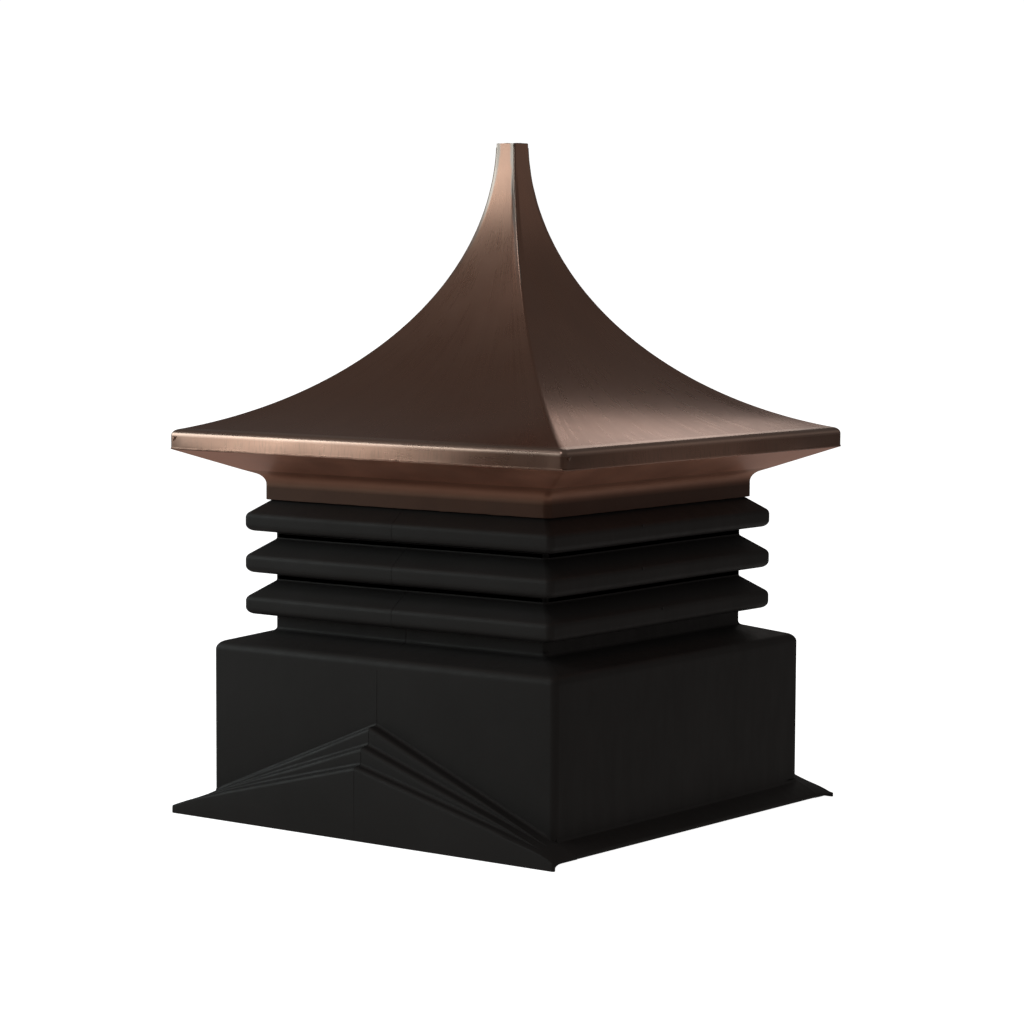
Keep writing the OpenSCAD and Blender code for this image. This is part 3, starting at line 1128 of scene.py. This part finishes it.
FLOOR_HALF = 30.0
floor_mesh = bpy.data.meshes.new("pale_floor")
floor_mesh.from_pydata(
    [(-FLOOR_HALF, -FLOOR_HALF, 0), (FLOOR_HALF, -FLOOR_HALF, 0),
     (FLOOR_HALF, FLOOR_HALF, 0), (-FLOOR_HALF, FLOOR_HALF, 0)], [], [(0, 1, 2, 3)])
floor = bpy.data.objects.new("pale_floor", floor_mesh)
bpy.context.scene.collection.objects.link(floor)
pale, tree, shader = new_finish("pale_floor")
shader.inputs["Base Color"].default_value = (0.9, 0.9, 0.9, 1)
shader.inputs["Roughness"].default_value = 0.9
shader.inputs["Specular IOR Level"].default_value = 0.1
shader.inputs["Emission Color"].default_value = (1, 1, 1, 1)
shader.inputs["Emission Strength"].default_value = 1.0
floor_mesh.materials.append(pale)
floor.location.z = -0.0005
floor.visible_glossy = False
floor.visible_diffuse = False

world = bpy.data.worlds.new("soft_room")
bpy.context.scene.world = world
world.use_nodes = True
tree = world.node_tree
tree.nodes.clear()
room = tree.nodes.new("ShaderNodeBackground")
room.inputs["Color"].default_value = (1, 0.97, 0.94, 1)
way = tree.nodes.new("ShaderNodeTexCoord")
way_up = tree.nodes.new("ShaderNodeSeparateXYZ")
tree.links.new(way.outputs["Generated"], way_up.inputs["Vector"])
tree.links.new(spread(tree, way_up.outputs["Z"], 0.32, 0.075, -0.45, 0.0),
               room.inputs["Strength"])
backdrop = tree.nodes.new("ShaderNodeBackground")
backdrop.inputs["Color"].default_value = (1, 1, 1, 1)
backdrop.inputs["Strength"].default_value = 1.05
paths = tree.nodes.new("ShaderNodeLightPath")
choice = tree.nodes.new("ShaderNodeMixShader")
output = tree.nodes.new("ShaderNodeOutputWorld")
even_room = tree.nodes.new("ShaderNodeBackground")
even_room.inputs["Color"].default_value = (1, 0.98, 0.96, 1)
even_room.inputs["Strength"].default_value = 0.22
soft_choice = tree.nodes.new("ShaderNodeMixShader")
tree.links.new(paths.outputs["Is Diffuse Ray"], soft_choice.inputs["Fac"])
tree.links.new(room.outputs["Background"], soft_choice.inputs[1])
tree.links.new(even_room.outputs["Background"], soft_choice.inputs[2])
tree.links.new(paths.outputs["Is Camera Ray"], choice.inputs["Fac"])
tree.links.new(soft_choice.outputs["Shader"], choice.inputs[1])
tree.links.new(backdrop.outputs["Background"], choice.inputs[2])
tree.links.new(choice.outputs["Shader"], output.inputs["Surface"])
bpy.context.scene.view_settings.view_transform = "Standard"

MIDDLE = Vector((0, 0, 0.42))


def soft_light(name, azimuth, elevation, distance, width, height, power, colour):
    """A large soft panel; azimuth 0 is in front, 90 at the right."""
    a, e = math.radians(azimuth), math.radians(elevation)
    toward = Vector((math.sin(a) * math.cos(e), -math.cos(a) * math.cos(e), math.sin(e)))
    data = bpy.data.lights.new(name, "AREA")
    data.shape = "RECTANGLE"
    data.size = width
    data.size_y = height
    data.energy = power
    data.color = colour
    panel = bpy.data.objects.new(name, data)
    panel.location = MIDDLE + toward * distance
    panel.rotation_euler = toward.to_track_quat("Z", "Y").to_euler()
    panel.visible_camera = False
    bpy.context.scene.collection.objects.link(panel)


soft_light("left_panel", -56.5, 13.5, 2.6, 1.9, 1.3, 19.5, (0.85, 1, 1.02))
soft_light("back_panel", 208, 26, 2.8, 0.95, 1.05, 2.35, (1, 0.95, 0.9))
soft_light("front_panel", -18, 50, 2.6, 0.8, 0.8, 4, (1, 1, 1))
soft_light("right_panel", 146, 16, 2.8, 1.0, 1.0, 0.25, (1, 0.95, 0.9))

CAMERA_PLACE = Vector((2.1085, -2.8022, 0.6424))
CAMERA_TURN = math.radians(36.9341)
CAMERA_DIP = math.radians(4.8052)
CAMERA_ROLL = 0.00472
LENS = 105.2884
forward = Vector((-math.sin(CAMERA_TURN) * math.cos(CAMERA_DIP),
                  math.cos(CAMERA_TURN) * math.cos(CAMERA_DIP), -math.sin(CAMERA_DIP)))
right = Vector((math.cos(CAMERA_TURN), math.sin(CAMERA_TURN), 0))
up = right.cross(forward)
right, up = (right * math.cos(CAMERA_ROLL) + up * math.sin(CAMERA_ROLL),
             up * math.cos(CAMERA_ROLL) - right * math.sin(CAMERA_ROLL))
camera_data = bpy.data.cameras.new("studio_camera")
camera_data.sensor_width = 36
camera_data.lens = LENS
camera = bpy.data.objects.new("studio_camera", camera_data)
camera.matrix_world = Matrix((
    (right.x, up.x, -forward.x, CAMERA_PLACE.x),
    (right.y, up.y, -forward.y, CAMERA_PLACE.y),
    (right.z, up.z, -forward.z, CAMERA_PLACE.z),
    (0, 0, 0, 1)))
bpy.context.scene.collection.objects.link(camera)
bpy.context.scene.camera = camera
